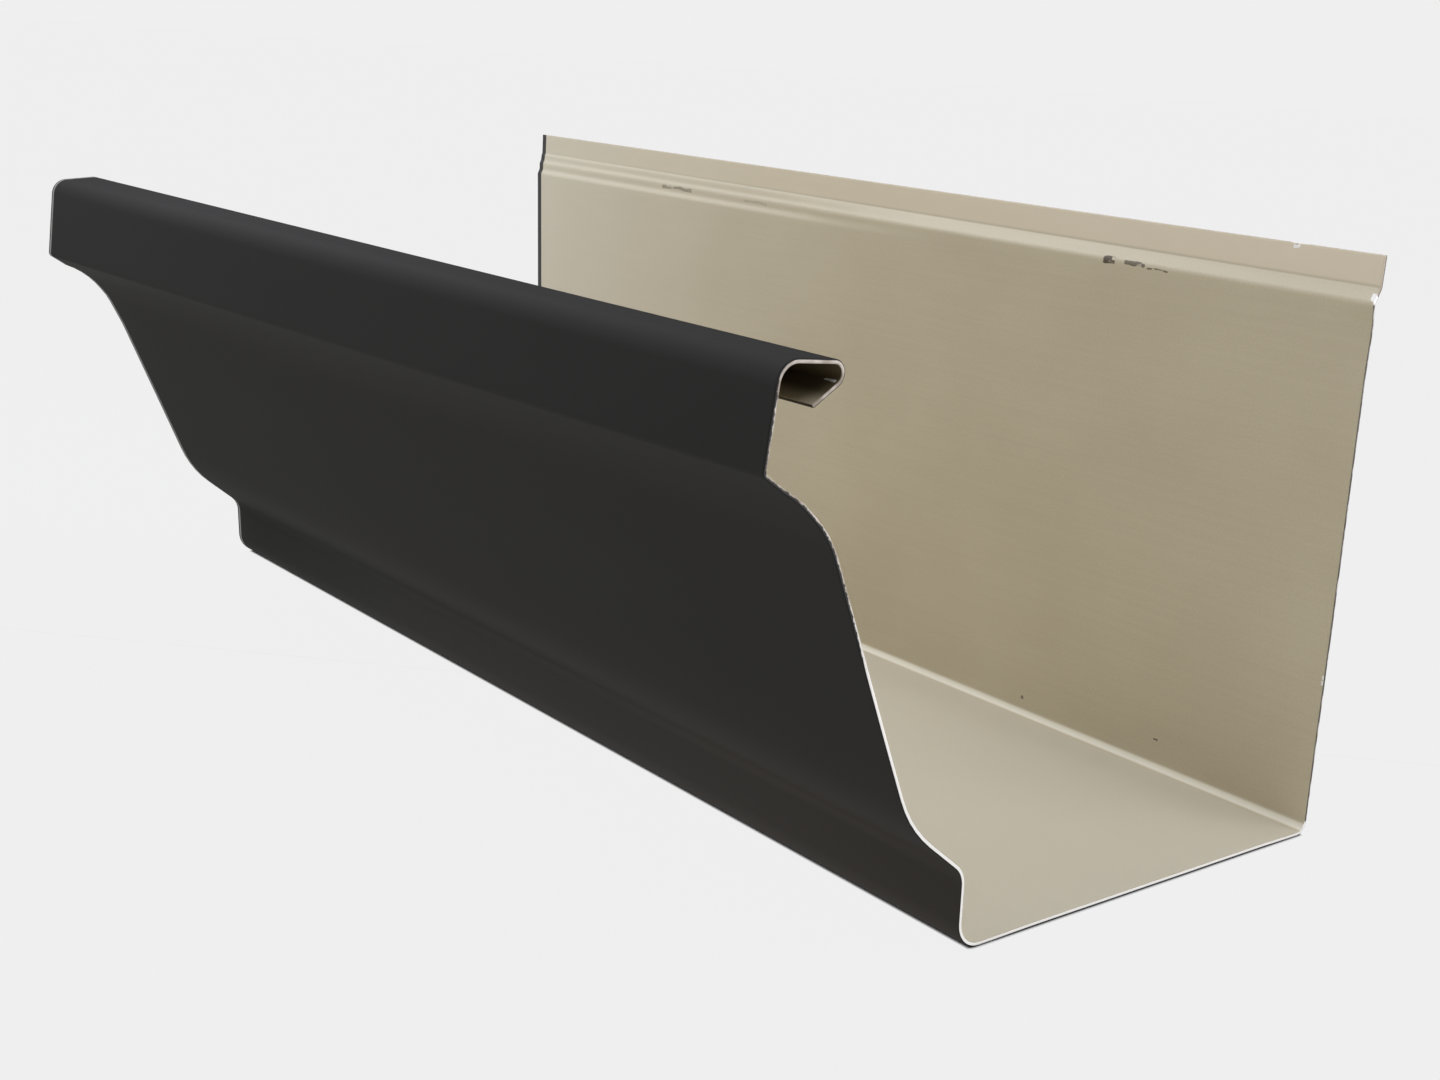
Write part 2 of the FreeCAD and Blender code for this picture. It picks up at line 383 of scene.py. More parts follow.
def mark_faces(mesh, depth):
    """Give each face the number of its finish: paint, wash coat, cut metal or slit edge."""
    for face in mesh.faces:
        depths = [vert[depth] for vert in face.verts]
        face.smooth = True
        if max(depths) < 0.5:
            face.material_index = PAINT
        elif min(depths) > 0.5:
            face.material_index = WASH
        elif abs(face.normal.x) > 0.5:
            face.material_index = BARE
        else:
            face.material_index = SLIT


def cut_slices(mesh, wear):
    """Cut closer slices, in millimetres from the two ends and from the nick in the flange."""
    places = [NEAR_END - step * MM for step in (0.5, 1.2)]
    places += [FAR_END + step * MM for step in (0.4, 0.8, 1.1, 1.6)]
    places += [wear.nick_place + step * MM for step in (-1.0, -0.5, 0, 0.5, 1.0)]
    for place in places:
        bmesh.ops.bisect_plane(
            mesh,
            geom=mesh.verts[:] + mesh.edges[:] + mesh.faces[:],
            plane_co=(place, 0, 0),
            plane_no=(1, 0, 0),
        )


def ramp(value, start, end):
    """Rise smoothly from 0 at start to 1 at end."""
    part = min(1, max(0, (value - start) / (end - start)))
    return part * part * (3 - 2 * part)


def level(value, knots):
    """Read a value off straight lines drawn between knots of place and height."""
    if value <= knots[0][0]:
        return knots[0][1]
    for (place, height), (next_place, next_height) in zip(knots, knots[1:]):
        if value <= next_place:
            return height + (next_height - height) * (value - place) / (next_place - place)
    return knots[-1][1]


def slow_wave(place):
    """Return the slow wave of the flat runs at a place, from -1 to 1."""
    waves = (place.x * SLOW_ALONG, place.y * SLOW_ACROSS, place.z * SLOW_ACROSS)
    return noise.noise(Vector(waves))


def wear_wall(vert, path, runs, wear):
    """Wave, step, bulge, nick and lower a point of the wall, the ledge or the flange."""
    wall, ledge, flange = runs.wall, runs.ledge, runs.flange
    place = vert.co.copy()
    # The wave dies out at the back corner and is weak under the ledge.
    hold = ramp(path, wall[0], wall[0] + 26 * MM)
    hold *= 1 - 0.6 * ramp(path, wall[1] - 20 * MM, wall[1])
    vert.co.y += wear.waviness * slow_wave(place) * hold
    # The rollers left a second, softer step under the ledge, which fades at mid length.
    stepped = ramp(path, wall[1] - 2.9 * MM, wall[1] - 0.9 * MM)
    stepped *= 1 - ramp(path, ledge[0], ledge[1])
    stepped *= 1 - ramp(place.x, -60 * MM, 40 * MM)
    vert.co.y += wear.rolled_step * stepped
    # The cut edge bulges under the ledge, in the last 9 mm of the near end.
    bulge = ramp(place.x, NEAR_END - 9 * MM, NEAR_END)
    bulge *= ramp(path, wall[1] - 15 * MM, wall[1] - 5 * MM)
    bulge *= 1 - ramp(path, wall[1] - 4 * MM, wall[1])
    vert.co.y += wear.edge_bulge * bulge
    # The nick in the flange's edge has a shallow dent beside it.
    nick = max(0, 1 - abs(place.x - wear.nick_place) / (0.9 * MM))
    nick *= ramp(path, flange[1] - 1.5 * MM, flange[1])
    vert.co.z -= wear.nick_depth * nick
    dent = max(0, 1 - abs(place.x - wear.nick_place + 2 * MM) / (6 * MM))
    dent *= ramp(path, flange[1] - 4 * MM, flange[1])
    vert.co.y += wear.dent_depth * dent
    near_fall = (
        (wall[0] + 50 * MM, 0),
        (wall[1], wear.ledge_fall),
        (flange[0], wear.ledge_fall),
        (flange[1], wear.flange_fall),
    )
    vert.co.z -= (place.x - FAR_END) / (NEAR_END - FAR_END) * level(path, near_fall)


def wear_floor(vert, path, runs, wear):
    """Lift a point of the floor between its two corners, more in some places than others."""
    start, end = runs.pan
    hold = ramp(path, start, start + 14 * MM) * (1 - ramp(path, end - 14 * MM, end))
    vert.co.z += wear.pan_lift * hold * (0.8 + 0.5 * slow_wave(vert.co))


def wear_front(vert, path, runs, wear):
    """Wave a point of the ogee, and spring the bead, lip and shelf at the two ends."""
    bead, lip, neck, ogee = runs.bead, runs.lip, runs.neck, runs.ogee
    place = vert.co.copy()
    # Each pair is a place round the section and how far the strip has lifted there. At the
    # far end the foot of the shelf droops most, and at the near end the crease rises most.
    far_lift = (
        (bead[0], 0),
        (bead[1], -wear.bead_twist),
        (lip[0], -wear.bead_twist),
        (lip[1], -wear.lip_droop),
        (neck[0], -wear.lip_droop),
        (neck[1], -wear.neck_droop),
        (ogee[0] - 5 * MM, -wear.neck_droop * 0.85),
        (ogee[0] + 8 * MM, 0),
    )
    near_lift = (
        (bead[0], 0),
        (bead[1], wear.bead_twist * 0.6),
        (lip[0], wear.bead_twist * 0.8),
        (lip[1], wear.lip_rise),
        (neck[0], wear.lip_rise),
        (neck[1], wear.lip_rise * 0.52),
        (neck[1] + 7 * MM, wear.lip_rise * 0.1),
        (ogee[0], 0),
    )
    along = (place.x - FAR_END) / (NEAR_END - FAR_END)
    hold = ramp(path, neck[1], ogee[0] + 12 * MM) * (1 - ramp(path, ogee[1], runs.toe[0]))
    vert.co.y += wear.waviness * slow_wave(place) * hold
    vert.co.z += (1 - along) * level(path, far_lift) + along * level(path, near_lift)


def wear_strip(mesh, around, size, wear):
    """Move the strip's points by what rolling, cutting and handling did to it."""
    runs = strip_runs(size)
    on_the_cut = 0.01 * MM
    for vert in mesh.verts:
        place = vert.co.copy()
        path = vert[around]
        if path > runs.wall[0]:
            wear_wall(vert, path, runs, wear)
        elif path > runs.pan[0]:
            wear_floor(vert, path, runs, wear)
        else:
            wear_front(vert, path, runs, wear)
        for end in (FAR_END, NEAR_END):
            if abs(place.x - end) < on_the_cut:
                waves = (end * RAGGED_ALONG, place.y * RAGGED_ACROSS, place.z * RAGGED_ACROSS)
                rough = noise.noise(Vector(waves))
                vert.co.x -= math.copysign(wear.ragged * (1 + rough) / 2, end)


def roll_edges(mesh, wear):
    """Round the sheared rims: the painted skin rolls over, the inner one is only broken."""
    for finish, offset in ((PAINT, wear.edge_roll), (WASH, wear.edge_break)):
        rims = []
        for edge in mesh.edges:
            finishes = {face.material_index for face in edge.link_faces}
            if finish in finishes and finishes & {BARE, SLIT}:
                rims.append(edge)
        rolled = bmesh.ops.bevel(
            mesh,
            geom=rims,
            offset=offset,
            offset_type="OFFSET",
            affect="EDGES",
            segments=2,
            profile=0.5,
            material=-1,
            clamp_overlap=True,
        )
        for face in rolled["faces"]:
            face.material_index = finish
            face.smooth = True


# ----------------------------------------------------------------------- the finishes


def add(tree, kind, inputs=None, out=0, **settings):
    """Add a node with its settings; set or link its inputs; return one of its outputs."""
    node = tree.nodes.new(kind)
    for name, value in settings.items():
        setattr(node, name, value)
    for name, value in (inputs or {}).items():
        if isinstance(value, bpy.types.NodeSocket):
            tree.links.new(value, node.inputs[name])
        else:
            node.inputs[name].default_value = value
    return node.outputs[out] if node.outputs else None


def new_material(name):
    """Return an empty node material and its tree."""
    material = bpy.data.materials.new(name)
    material.use_nodes = True
    material.node_tree.nodes.clear()
    return material, material.node_tree


def opaque(value, part=1):
    """Return a colour with full alpha, made darker or lighter by this part."""
    return (*(channel * part for channel in value), 1)


def per_mm(size):
    """Return the noise scale whose grain is this many millimetres."""
    return 1 / (size * MM)


def sheet_place(tree):
    """Return the place on the sheet laid flat, its X and its way round the section."""
    place = add(tree, "ShaderNodeTexCoord", out="Object")
    x = add(tree, "ShaderNodeSeparateXYZ", {"Vector": place}, out="X")
    path = add(tree, "ShaderNodeAttribute", attribute_name="around", out="Fac")
    return add(tree, "ShaderNodeCombineXYZ", {"X": x, "Y": path}), x, path


def band(tree, value, middle, half, soft):
    """Return 1 where the value is within half of the middle, fading out over soft."""
    offset = add(tree, "ShaderNodeMath", {0: value, 1: middle}, operation="SUBTRACT")
    away = add(tree, "ShaderNodeMath", {0: offset}, operation="ABSOLUTE")
    return add(
        tree,
        "ShaderNodeMapRange",
        {"Value": away, "From Min": half, "From Max": half + soft, "To Min": 1, "To Max": 0},
        interpolation_type="SMOOTHSTEP",
    )


def ragged_patch(tree, sheet, x, path, mark):
    """Return a thin patch with a ragged outline, drawn out along the strip.

    A mark holds the X where it starts and the X where it ends, its place round the
    section, half its height, and how much it covers.
    """
    start, end, middle, half, amount = mark
    drawn_out = add(tree, "ShaderNodeMapping", {"Vector": sheet, "Scale": (0.3, 1, 1)})
    wander = add(
        tree, "ShaderNodeTexNoise", {"Vector": drawn_out, "Scale": per_mm(1.2), "Detail": 1}
    )
    crumb = add(
        tree, "ShaderNodeTexNoise", {"Vector": drawn_out, "Scale": per_mm(0.6), "Detail": 3}
    )
    drift = add(
        tree, "ShaderNodeMapRange", {"Value": wander, "To Min": -1.2 * half, "To Max": 1.2 * half}
    )
    path = add(tree, "ShaderNodeMath", {0: path, 1: drift}, operation="ADD")
    wide = band(
        tree, x, middle=(start + end) / 2, half=(end - start) / 2 - 0.5 * MM, soft=1.2 * MM
    )
    tall = band(tree, path, middle=middle, half=half * 0.5, soft=half)
    shape = add(tree, "ShaderNodeMath", {0: wide, 1: tall}, operation="MULTIPLY")
    # Only the densest crumbs of the shape show, which frays its outline.
    worn = add(tree, "ShaderNodeMath", {0: shape, 1: crumb}, operation="MULTIPLY")
    return add(
        tree,
        "ShaderNodeMapRange",
        {"Value": worn, "From Min": 0.34, "From Max": 0.42, "To Min": 0, "To Max": amount},
    )


def charcoal_paint(colours, runs):
    """Coil-coated polyester paint, baked on: near-black and even, with a dull satin sheen."""
    bead, lip, toe, foot, pan = runs.bead, runs.lip, runs.toe, runs.foot, runs.pan
    material, tree = new_material("charcoal_polyester_paint")
    sheet, x, path = sheet_place(tree)
    # The coating roller leaves faint clouds, drawn out along the strip.
    long_sheet = add(tree, "ShaderNodeMapping", {"Vector": sheet, "Scale": (0.2, 1, 1)})
    cloud = add(tree, "ShaderNodeTexNoise", {"Vector": long_sheet, "Scale": per_mm(30)})
    # Painted reflection: a warm brown tint low on the front stands for a reflection, most of it
    # about 40 mm from the near end.
    low = band(tree, path, middle=(foot[0] + pan[0]) / 2, half=8 * MM, soft=42 * MM)
    near = band(tree, x, middle=112 * MM, half=10 * MM, soft=190 * MM)
    warm_reflection = add(tree, "ShaderNodeMath", {0: low, 1: near}, operation="MULTIPLY")
    warm_reflection = add(tree, "ShaderNodeMath", {0: warm_reflection, 1: colours.warm_reflection_share}, operation="MULTIPLY")
    # Painted highlight and polish: the bead's rounding is drawn lighter and a little glossier,
    # fading out over its far quarter. The foot gets the same, most of all from the middle towards
    # the near end, and its lighter paint is a painted sheen.
    rolled = band(
        tree,
        path,
        middle=(bead[0] + lip[0]) / 2,
        half=(lip[0] - bead[0]) / 2 - 1 * MM,
        soft=2 * MM,
    )
    faded = add(
        tree,
        "ShaderNodeMapRange",
        {"Value": x, "From Min": FAR_END, "From Max": FAR_END / 2, "To Max": colours.bead_polish_and_highlight},
    )
    polish_and_highlight = add(tree, "ShaderNodeMath", {0: rolled, 1: faded}, operation="MULTIPLY")
    foot_sheen = band(tree, path, middle=(foot[0] + foot[1]) / 2, half=5 * MM, soft=4 * MM)
    length_wise = band(tree, x, middle=40 * MM, half=60 * MM, soft=130 * MM)
    for part in (length_wise, colours.foot_polish_and_sheen):
        foot_sheen = add(tree, "ShaderNodeMath", {0: foot_sheen, 1: part}, operation="MULTIPLY")
    polish_and_highlight = add(tree, "ShaderNodeMath", {0: polish_and_highlight, 1: foot_sheen}, operation="MAXIMUM")
    # A thin pale line is drawn just in from the far rim's rolled edge.
    far_pale_line = band(tree, x, middle=FAR_END + 1.3 * MM, half=0.3 * MM, soft=0.3 * MM)
    highlight_and_pale_line = add(tree, "ShaderNodeMath", {0: far_pale_line, 1: polish_and_highlight}, operation="MAXIMUM")
    # Painted shade: the paint tucked in at the toe is drawn darker, most at the far end.
    tucked = band(
        tree, path, middle=(toe[0] + toe[1]) / 2, half=(toe[1] - toe[0]) / 2, soft=6 * MM
    )
    farther = band(tree, x, middle=FAR_END, half=60 * MM, soft=220 * MM)
    for part in (farther, colours.toe_shade):
        tucked = add(tree, "ShaderNodeMath", {0: tucked, 1: part}, operation="MULTIPLY")
    # Specks of dust: about one in seven of the 24 mm cells has one, half a millimetre wide.
    cell = add(
        tree, "ShaderNodeTexVoronoi", {"Vector": sheet, "Scale": per_mm(24)}, out="Distance"
    )
    chosen = add(
        tree, "ShaderNodeSeparateColor", {"Color": cell.node.outputs["Color"]}, out="Red"
    )
    small = add(tree, "ShaderNodeMath", {0: cell, 1: 0.011}, operation="LESS_THAN")
    few = add(tree, "ShaderNodeMath", {0: chosen, 1: 0.85}, operation="GREATER_THAN")
    speck = add(tree, "ShaderNodeMath", {0: small, 1: few}, operation="MULTIPLY")
    speck = add(tree, "ShaderNodeMath", {0: speck, 1: colours.speck_share}, operation="MULTIPLY")
    body = opaque(colours.paint, 0.93)
    for cover, tint in (
        (cloud, opaque(colours.paint, 1.07)),
        (warm_reflection, opaque(colours.dust_and_reflection)),
        (highlight_and_pale_line, opaque(colours.paint_highlight)),
        (tucked, opaque(colours.paint, 0.5)),
        (speck, opaque(colours.dust_and_reflection)),
    ):
        body = add(
            tree,
            "ShaderNodeMix",
            {"Factor": cover, MIX_UNDER: body, MIX_OVER: tint},
            out=MIX_OUT,
            data_type="RGBA",
        )
    # The paint's orange peel is finer than this, and is drawn at 1.1 mm so that it shows.
    peel = add(tree, "ShaderNodeTexNoise", {"Vector": sheet, "Scale": per_mm(1.1), "Detail": 1})
    normal = add(
        tree, "ShaderNodeBump", {"Strength": 0.12, "Distance": 0.03 * MM, "Height": peel}
    )
    roughness = add(
        tree,
        "ShaderNodeMapRange",
        {"Value": polish_and_highlight, "From Max": colours.bead_polish_and_highlight, "To Min": 0.8, "To Max": 0.74},
    )
    surface = add(
        tree,
        "ShaderNodeBsdfPrincipled",
        {
            "Base Color": body,
            "Roughness": roughness,
            "IOR": 1.45,
            "Specular IOR Level": 0.04,
            "Normal": normal,
        },
    )
    add(tree, "ShaderNodeOutputMaterial", {"Surface": surface})
    return material


def beige_wash_coat(colours, runs):
    """Thin epoxy wash coat, rolled on: beige and soft, finely mottled, chipped in bends."""
    hem, lip, toe, pan = runs.hem, runs.lip, runs.toe, runs.pan
    wall, ledge, flange = runs.wall, runs.ledge, runs.flange
    material, tree = new_material("beige_epoxy_wash_coat")
    sheet, x, path = sheet_place(tree)
    # The coat is thicker and thinner in broad clouds, in the roller's long streaks, and in
    # a fine mottle, which is drawn at 0.45 mm, coarser than it is, so that it shows.
    long_sheet = add(tree, "ShaderNodeMapping", {"Vector": sheet, "Scale": (0.03, 1, 1)})
    cloud = add(tree, "ShaderNodeTexNoise", {"Vector": sheet, "Scale": per_mm(35)})
    streak = add(tree, "ShaderNodeTexNoise", {"Vector": long_sheet, "Scale": per_mm(1.3)})
    mottle = add(tree, "ShaderNodeTexNoise", {"Vector": sheet, "Scale": per_mm(0.45), "Detail": 2})
    thin = cloud
    for part, pattern in ((0.35, streak), (0.45, mottle)):
        thin = add(
            tree,
            "ShaderNodeMix",
            {"Factor": part, BLEND_UNDER: thin, BLEND_OVER: pattern},
            data_type="FLOAT",
        )
    thin = add(
        tree, "ShaderNodeMapRange", {"Value": thin, "From Min": 0.32, "From Max": 0.68}
    )
    # Painted light: the floor and the toe are greyed to stand for cool light from above, and the
    # far half is greyed to stand for the pale sheen it reflects.
    floor = band(
        tree, path, middle=(toe[0] + pan[1]) / 2, half=(pan[1] - toe[0]) / 2, soft=1 * MM
    )
    painted_greying = add(tree, "ShaderNodeMath", {0: floor, 1: colours.floor_cool_light}, operation="MULTIPLY")
    farther = add(
        tree,
        "ShaderNodeMapRange",
        {"Value": x, "From Min": 0, "From Max": FAR_END, "To Max": colours.far_reflection_grey},
    )
    painted_greying = add(tree, "ShaderNodeMath", {0: painted_greying, 1: farther}, operation="MAXIMUM")
    # Painted highlight: the coat is drawn pale where the bends catch light, in the back corner all
    # along, and on the ledge less and less towards the far end.
    painted_crease_light = band(
        tree, path, middle=(pan[1] + wall[0]) / 2 + 0.3 * MM, half=0.7 * MM, soft=0.8 * MM
    )
    painted_crease_light = add(
        tree, "ShaderNodeMath", {0: painted_crease_light, 1: colours.crease_highlight}, operation="MULTIPLY"
    )
    nearer = add(
        tree, "ShaderNodeMapRange", {"Value": x, "From Min": FAR_END, "From Max": NEAR_END / 2}
    )
    painted_ledge_light = band(tree, path, middle=(ledge[0] + ledge[1]) / 2, half=1.2 * MM, soft=0.5 * MM)
    for part in (nearer, colours.ledge_highlight):
        painted_ledge_light = add(tree, "ShaderNodeMath", {0: painted_ledge_light, 1: part}, operation="MULTIPLY")
    painted_highlights = add(tree, "ShaderNodeMath", {0: painted_crease_light, 1: painted_ledge_light}, operation="MAXIMUM")
    # The flange is drawn paler and pinkish, less and less towards the far end.
    flange_paler = band(
        tree, path, middle=flange[1], half=(flange[1] - flange[0]) * 0.9, soft=0.8 * MM
    )
    flange_paler = add(tree, "ShaderNodeMath", {0: flange_paler, 1: nearer}, operation="MULTIPLY")
    # Dirt sits in the chips of the bend under the ledge, and in two small ones low down.
    chips = (
        (82.5 * MM, 86 * MM, wall[1] + 0.3 * MM, 0.55 * MM, 0.95),
        (88.5 * MM, 94.5 * MM, wall[1] + 0.3 * MM, 0.35 * MM, 0.8),
        (95 * MM, 101 * MM, wall[1] - 0.1 * MM, 0.2 * MM, 0.8),
        (-86.5 * MM, -72 * MM, wall[1] - 0.2 * MM, 0.45 * MM, 0.5),
        (-48 * MM, -38 * MM, wall[1] - 0.3 * MM, 0.3 * MM, 0.2),
        (110 * MM, 111.5 * MM, wall[0] + 4.8 * MM, 0.5 * MM, 0.9),
        (68.5 * MM, 69.5 * MM, wall[0] + 2.2 * MM, 0.45 * MM, 0.7),
    )
    # The shear smeared charcoal paint over the last 2 mm of the wall, at the far end.
    far_rim = band(tree, x, middle=FAR_END, half=2.0 * MM, soft=0.25 * MM)
    upright = add(tree, "ShaderNodeMath", {0: path, 1: wall[0]}, operation="GREATER_THAN")
    far_rim = add(tree, "ShaderNodeMath", {0: far_rim, 1: upright}, operation="MULTIPLY")
    # Painted shade fills the bead's hollow, and on the hem it deepens over the first 45 mm in from
    # each end.
    inside = band(
        tree,
        path,
        middle=(hem[1] + lip[0]) / 2,
        half=(lip[0] - hem[1]) / 2 + 2 * MM,
        soft=4 * MM,
    )
    returned = band(tree, path, middle=0, half=hem[1], soft=1 * MM)
    from_middle = add(tree, "ShaderNodeMath", {0: x}, operation="ABSOLUTE")
    deep = add(
        tree,
        "ShaderNodeMapRange",
        {"Value": from_middle, "From Min": NEAR_END - 2 * MM, "From Max": NEAR_END - 45 * MM},
        interpolation_type="SMOOTHSTEP",
    )
    deep = add(tree, "ShaderNodeMath", {0: deep, 1: returned}, operation="MULTIPLY")
    hem_painted_shade = add(tree, "ShaderNodeMath", {0: inside, 1: deep}, operation="MAXIMUM")
    # Bright metal shows where the cut, and the knock on the flange, broke the coat. The first
    # mark, on a burr at the near ledge, and the last, on a fold in the hem, are painted glints.
    breaks_and_glints = (
        (151.2 * MM, 154 * MM, ledge[0] + 0.4 * MM, 0.9 * MM, 1),
        (151.8 * MM, 154 * MM, wall[0] + 32 * MM, 1.2 * MM, 0.9),
        (130.8 * MM, 132.6 * MM, flange[1] - 0.4 * MM, 0.5 * MM, 0.9),
        (149.2 * MM, 152 * MM, hem[1] + 0.2 * MM, 0.4 * MM, 0.8),
    )
    body = opaque(colours.wash)
    for cover, tint in (
        (thin, colours.wash_dark),
        (painted_greying, colours.wash_lit_grey),
        (painted_highlights, colours.wash_highlight),
        (flange_paler, colours.flange_tint),
        *((ragged_patch(tree, sheet, x, path, mark), colours.chip) for mark in chips),
        (far_rim, colours.paint),
        (hem_painted_shade, colours.hem_painted_shade),
        *((ragged_patch(tree, sheet, x, path, mark), colours.bare) for mark in breaks_and_glints),
    ):
        body = add(
            tree,
            "ShaderNodeMix",
            {"Factor": cover, MIX_UNDER: body, MIX_OVER: opaque(tint)},
            out=MIX_OUT,
            data_type="RGBA",
        )
    normal = add(
        tree, "ShaderNodeBump", {"Strength": 0.12, "Distance": 0.03 * MM, "Height": mottle}
    )
    surface = add(
        tree,
        "ShaderNodeBsdfPrincipled",
        {
            "Base Color": body,
            "Roughness": 0.5,
            "IOR": 1.5,
            "Specular IOR Level": 0.4,
            "Normal": normal,
        },
    )
    add(tree, "ShaderNodeOutputMaterial", {"Surface": surface})
    return material


def sheared_aluminium(colours, runs):
    """Sheared aluminium: a bright, torn grain, dulled round the lip, paint dragged over it."""
    lip, neck, ogee, wall, ledge = runs.lip, runs.neck, runs.ogee, runs.wall, runs.ledge
    material, tree = new_material("sheared_bare_aluminium")
    _, x, path = sheet_place(tree)
    place = add(tree, "ShaderNodeTexCoord", out="Object")
    depth = add(tree, "ShaderNodeAttribute", attribute_name="depth", out="Fac")
    # The torn grain is finer than this, and is drawn at 0.7 mm so that it shows.
    grain = add(tree, "ShaderNodeTexNoise", {"Vector": place, "Scale": per_mm(0.7), "Detail": 3})
    patchy = add(tree, "ShaderNodeTexNoise", {"Vector": place, "Scale": per_mm(3.5), "Detail": 2})
    # The cut is drawn dull in patches, from the hem to the middle of the ogee, and all over the
    # flange.
    dull = add(
        tree,
        "ShaderNodeMapRange",
        {
            "Value": path,
            "From Min": ogee[0],
            "From Max": ogee[1] - 20 * MM,
            "To Min": 1,
            "To Max": 0,
        },
        interpolation_type="SMOOTHSTEP",
    )
    dull_part = add(
        tree,
        "ShaderNodeMapRange",
        {"Value": patchy, "From Min": 0.35, "From Max": 0.6, "To Min": 0.6},
    )
    dull = add(tree, "ShaderNodeMath", {0: dull, 1: dull_part}, operation="MULTIPLY")
    above = add(tree, "ShaderNodeMath", {0: path, 1: ledge[0] + 1 * MM}, operation="GREATER_THAN")
    dull = add(tree, "ShaderNodeMath", {0: dull, 1: above}, operation="MAXIMUM")
    # The shear dragged paint over the cut at the shelf and the lip's face, as deep as the
    # grain lets it, and over the whole cut at the far end. The grain averages a half, so
    # it is doubled.
    shelf_middle = (neck[0] + ogee[0]) / 2 + 6 * MM
    shelf = band(
        tree, path, middle=shelf_middle, half=(ogee[0] - neck[0]) / 2 + 4 * MM, soft=18 * MM
    )
    face = band(
        tree, path, middle=(lip[0] + lip[1]) / 2, half=(lip[1] - lip[0]) / 2, soft=3 * MM
    )
    reach = add(tree, "ShaderNodeMath", {0: shelf, 1: face}, operation="MAXIMUM")
    for part in (colours.dragged, grain, 2.0):
        reach = add(tree, "ShaderNodeMath", {0: reach, 1: part}, operation="MULTIPLY")
    far = add(tree, "ShaderNodeMath", {0: x, 1: 0.0}, operation="LESS_THAN")
    reach = add(tree, "ShaderNodeMath", {0: reach, 1: far}, operation="MAXIMUM")
    dragged = add(tree, "ShaderNodeMath", {0: depth, 1: reach}, operation="LESS_THAN")
    # Old dirt clings to the inner part of the wall's cut, in patches.
    back = band(
        tree, path, middle=(wall[0] + wall[1]) / 2, half=(wall[1] - wall[0]) / 2, soft=0.5 * MM
    )
    inner = add(tree, "ShaderNodeMath", {0: depth, 1: patchy}, operation="ADD")
    inner = add(tree, "ShaderNodeMath", {0: inner, 1: 0.8}, operation="GREATER_THAN")
    dirty = add(tree, "ShaderNodeMath", {0: back, 1: inner}, operation="MULTIPLY")
    body = opaque(colours.bare)
    for cover, tint in ((dull, colours.dulled_cut), (dragged, colours.paint), (dirty, colours.chip)):
        body = add(
            tree,
            "ShaderNodeMix",
            {"Factor": cover, MIX_UNDER: body, MIX_OVER: opaque(tint)},
            out=MIX_OUT,
            data_type="RGBA",
        )
    covered = add(tree, "ShaderNodeMath", {0: dragged, 1: dirty}, operation="MAXIMUM")
    metallic = add(
        tree, "ShaderNodeMapRange", {"Value": covered, "To Min": 1, "To Max": 0}
    )
    normal = add(
        tree, "ShaderNodeBump", {"Strength": 0.3, "Distance": 0.03 * MM, "Height": grain}
    )
    surface = add(
        tree,
        "ShaderNodeBsdfPrincipled",
        {"Base Color": body, "Metallic": metallic, "Roughness": 0.4, "Normal": normal},
    )
    add(tree, "ShaderNodeOutputMaterial", {"Surface": surface})
    return material


def slit_aluminium(colours):
    """Edge slit from the coil: half dulled to brown-grey by age, with lines along it."""
    material, tree = new_material("slit_aged_aluminium")
    sheet, _, path = sheet_place(tree)
    # The slitter's lines are finer than this, and are drawn at 0.8 mm so that they show.
    long_sheet = add(tree, "ShaderNodeMapping", {"Vector": sheet, "Scale": (0.15, 1, 1)})
    grain = add(tree, "ShaderNodeTexNoise", {"Vector": long_sheet, "Scale": per_mm(0.8)})
    # The hem's own edge, where the way round the section starts, is drawn nearly black.
    tucked = add(tree, "ShaderNodeMath", {0: path, 1: 2 * MM}, operation="LESS_THAN")
    body = opaque(colours.slit, 0.6)
    for cover, tint in ((grain, opaque(colours.slit, 1.3)), (tucked, opaque(colours.slit, 0.1))):
        body = add(
            tree,
            "ShaderNodeMix",
            {"Factor": cover, MIX_UNDER: body, MIX_OVER: tint},
            out=MIX_OUT,
            data_type="RGBA",
        )
    surface = add(
        tree,
        "ShaderNodeBsdfPrincipled",
        {"Base Color": body, "Metallic": 0.5, "Roughness": 0.5},
    )
    add(tree, "ShaderNodeOutputMaterial", {"Surface": surface})
    return material


# -------------------------------------------------------------------------- operators


class GUTTER_OT_strip(bpy.types.Operator):
    """Form the bent strip, wear it, and put it in place of the frame's own solid."""

    bl_idname = "gutter.strip"
    bl_label = "Gutter Strip"

    def execute(self, context):
        """Build the strip's mesh and object."""
        size = context.scene.gutter_profile
        wear = context.scene.gutter_wear
        mesh, around, depth = form_strip(size)
        mark_faces(mesh, depth)
        cut_slices(mesh, wear)
        wear_strip(mesh, around, size, wear)
        roll_edges(mesh, wear)
        data = bpy.data.meshes.new("gutter_strip")
        mesh.to_mesh(data)
        mesh.free()
        if not data.polygons:
            raise RuntimeError("the strip has no faces")
        data.set_sharp_from_angle(angle=SHARP_FROM)
        strip = bpy.data.objects.new("gutter_strip", data)
        context.scene.collection.objects.link(strip)
        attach(strip, "root")
        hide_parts("gutter_section")
        return {"FINISHED"}


class GUTTER_OT_finishes(bpy.types.Operator):
    """Coat the strip: paint outside, wash coat inside, bare metal where it is cut."""

    bl_idname = "gutter.finishes"
    bl_label = "Gutter Finishes"

    def execute(self, context):
        """Make the four finishes and give them to the strip."""
        runs = strip_runs(context.scene.gutter_profile)
        colours = context.scene.gutter_colours
        data = bpy.data.objects["gutter_strip"].data
        for finish in (charcoal_paint, beige_wash_coat, sheared_aluminium):
            data.materials.append(finish(colours, runs))
        data.materials.append(slit_aluminium(colours))
        return {"FINISHED"}


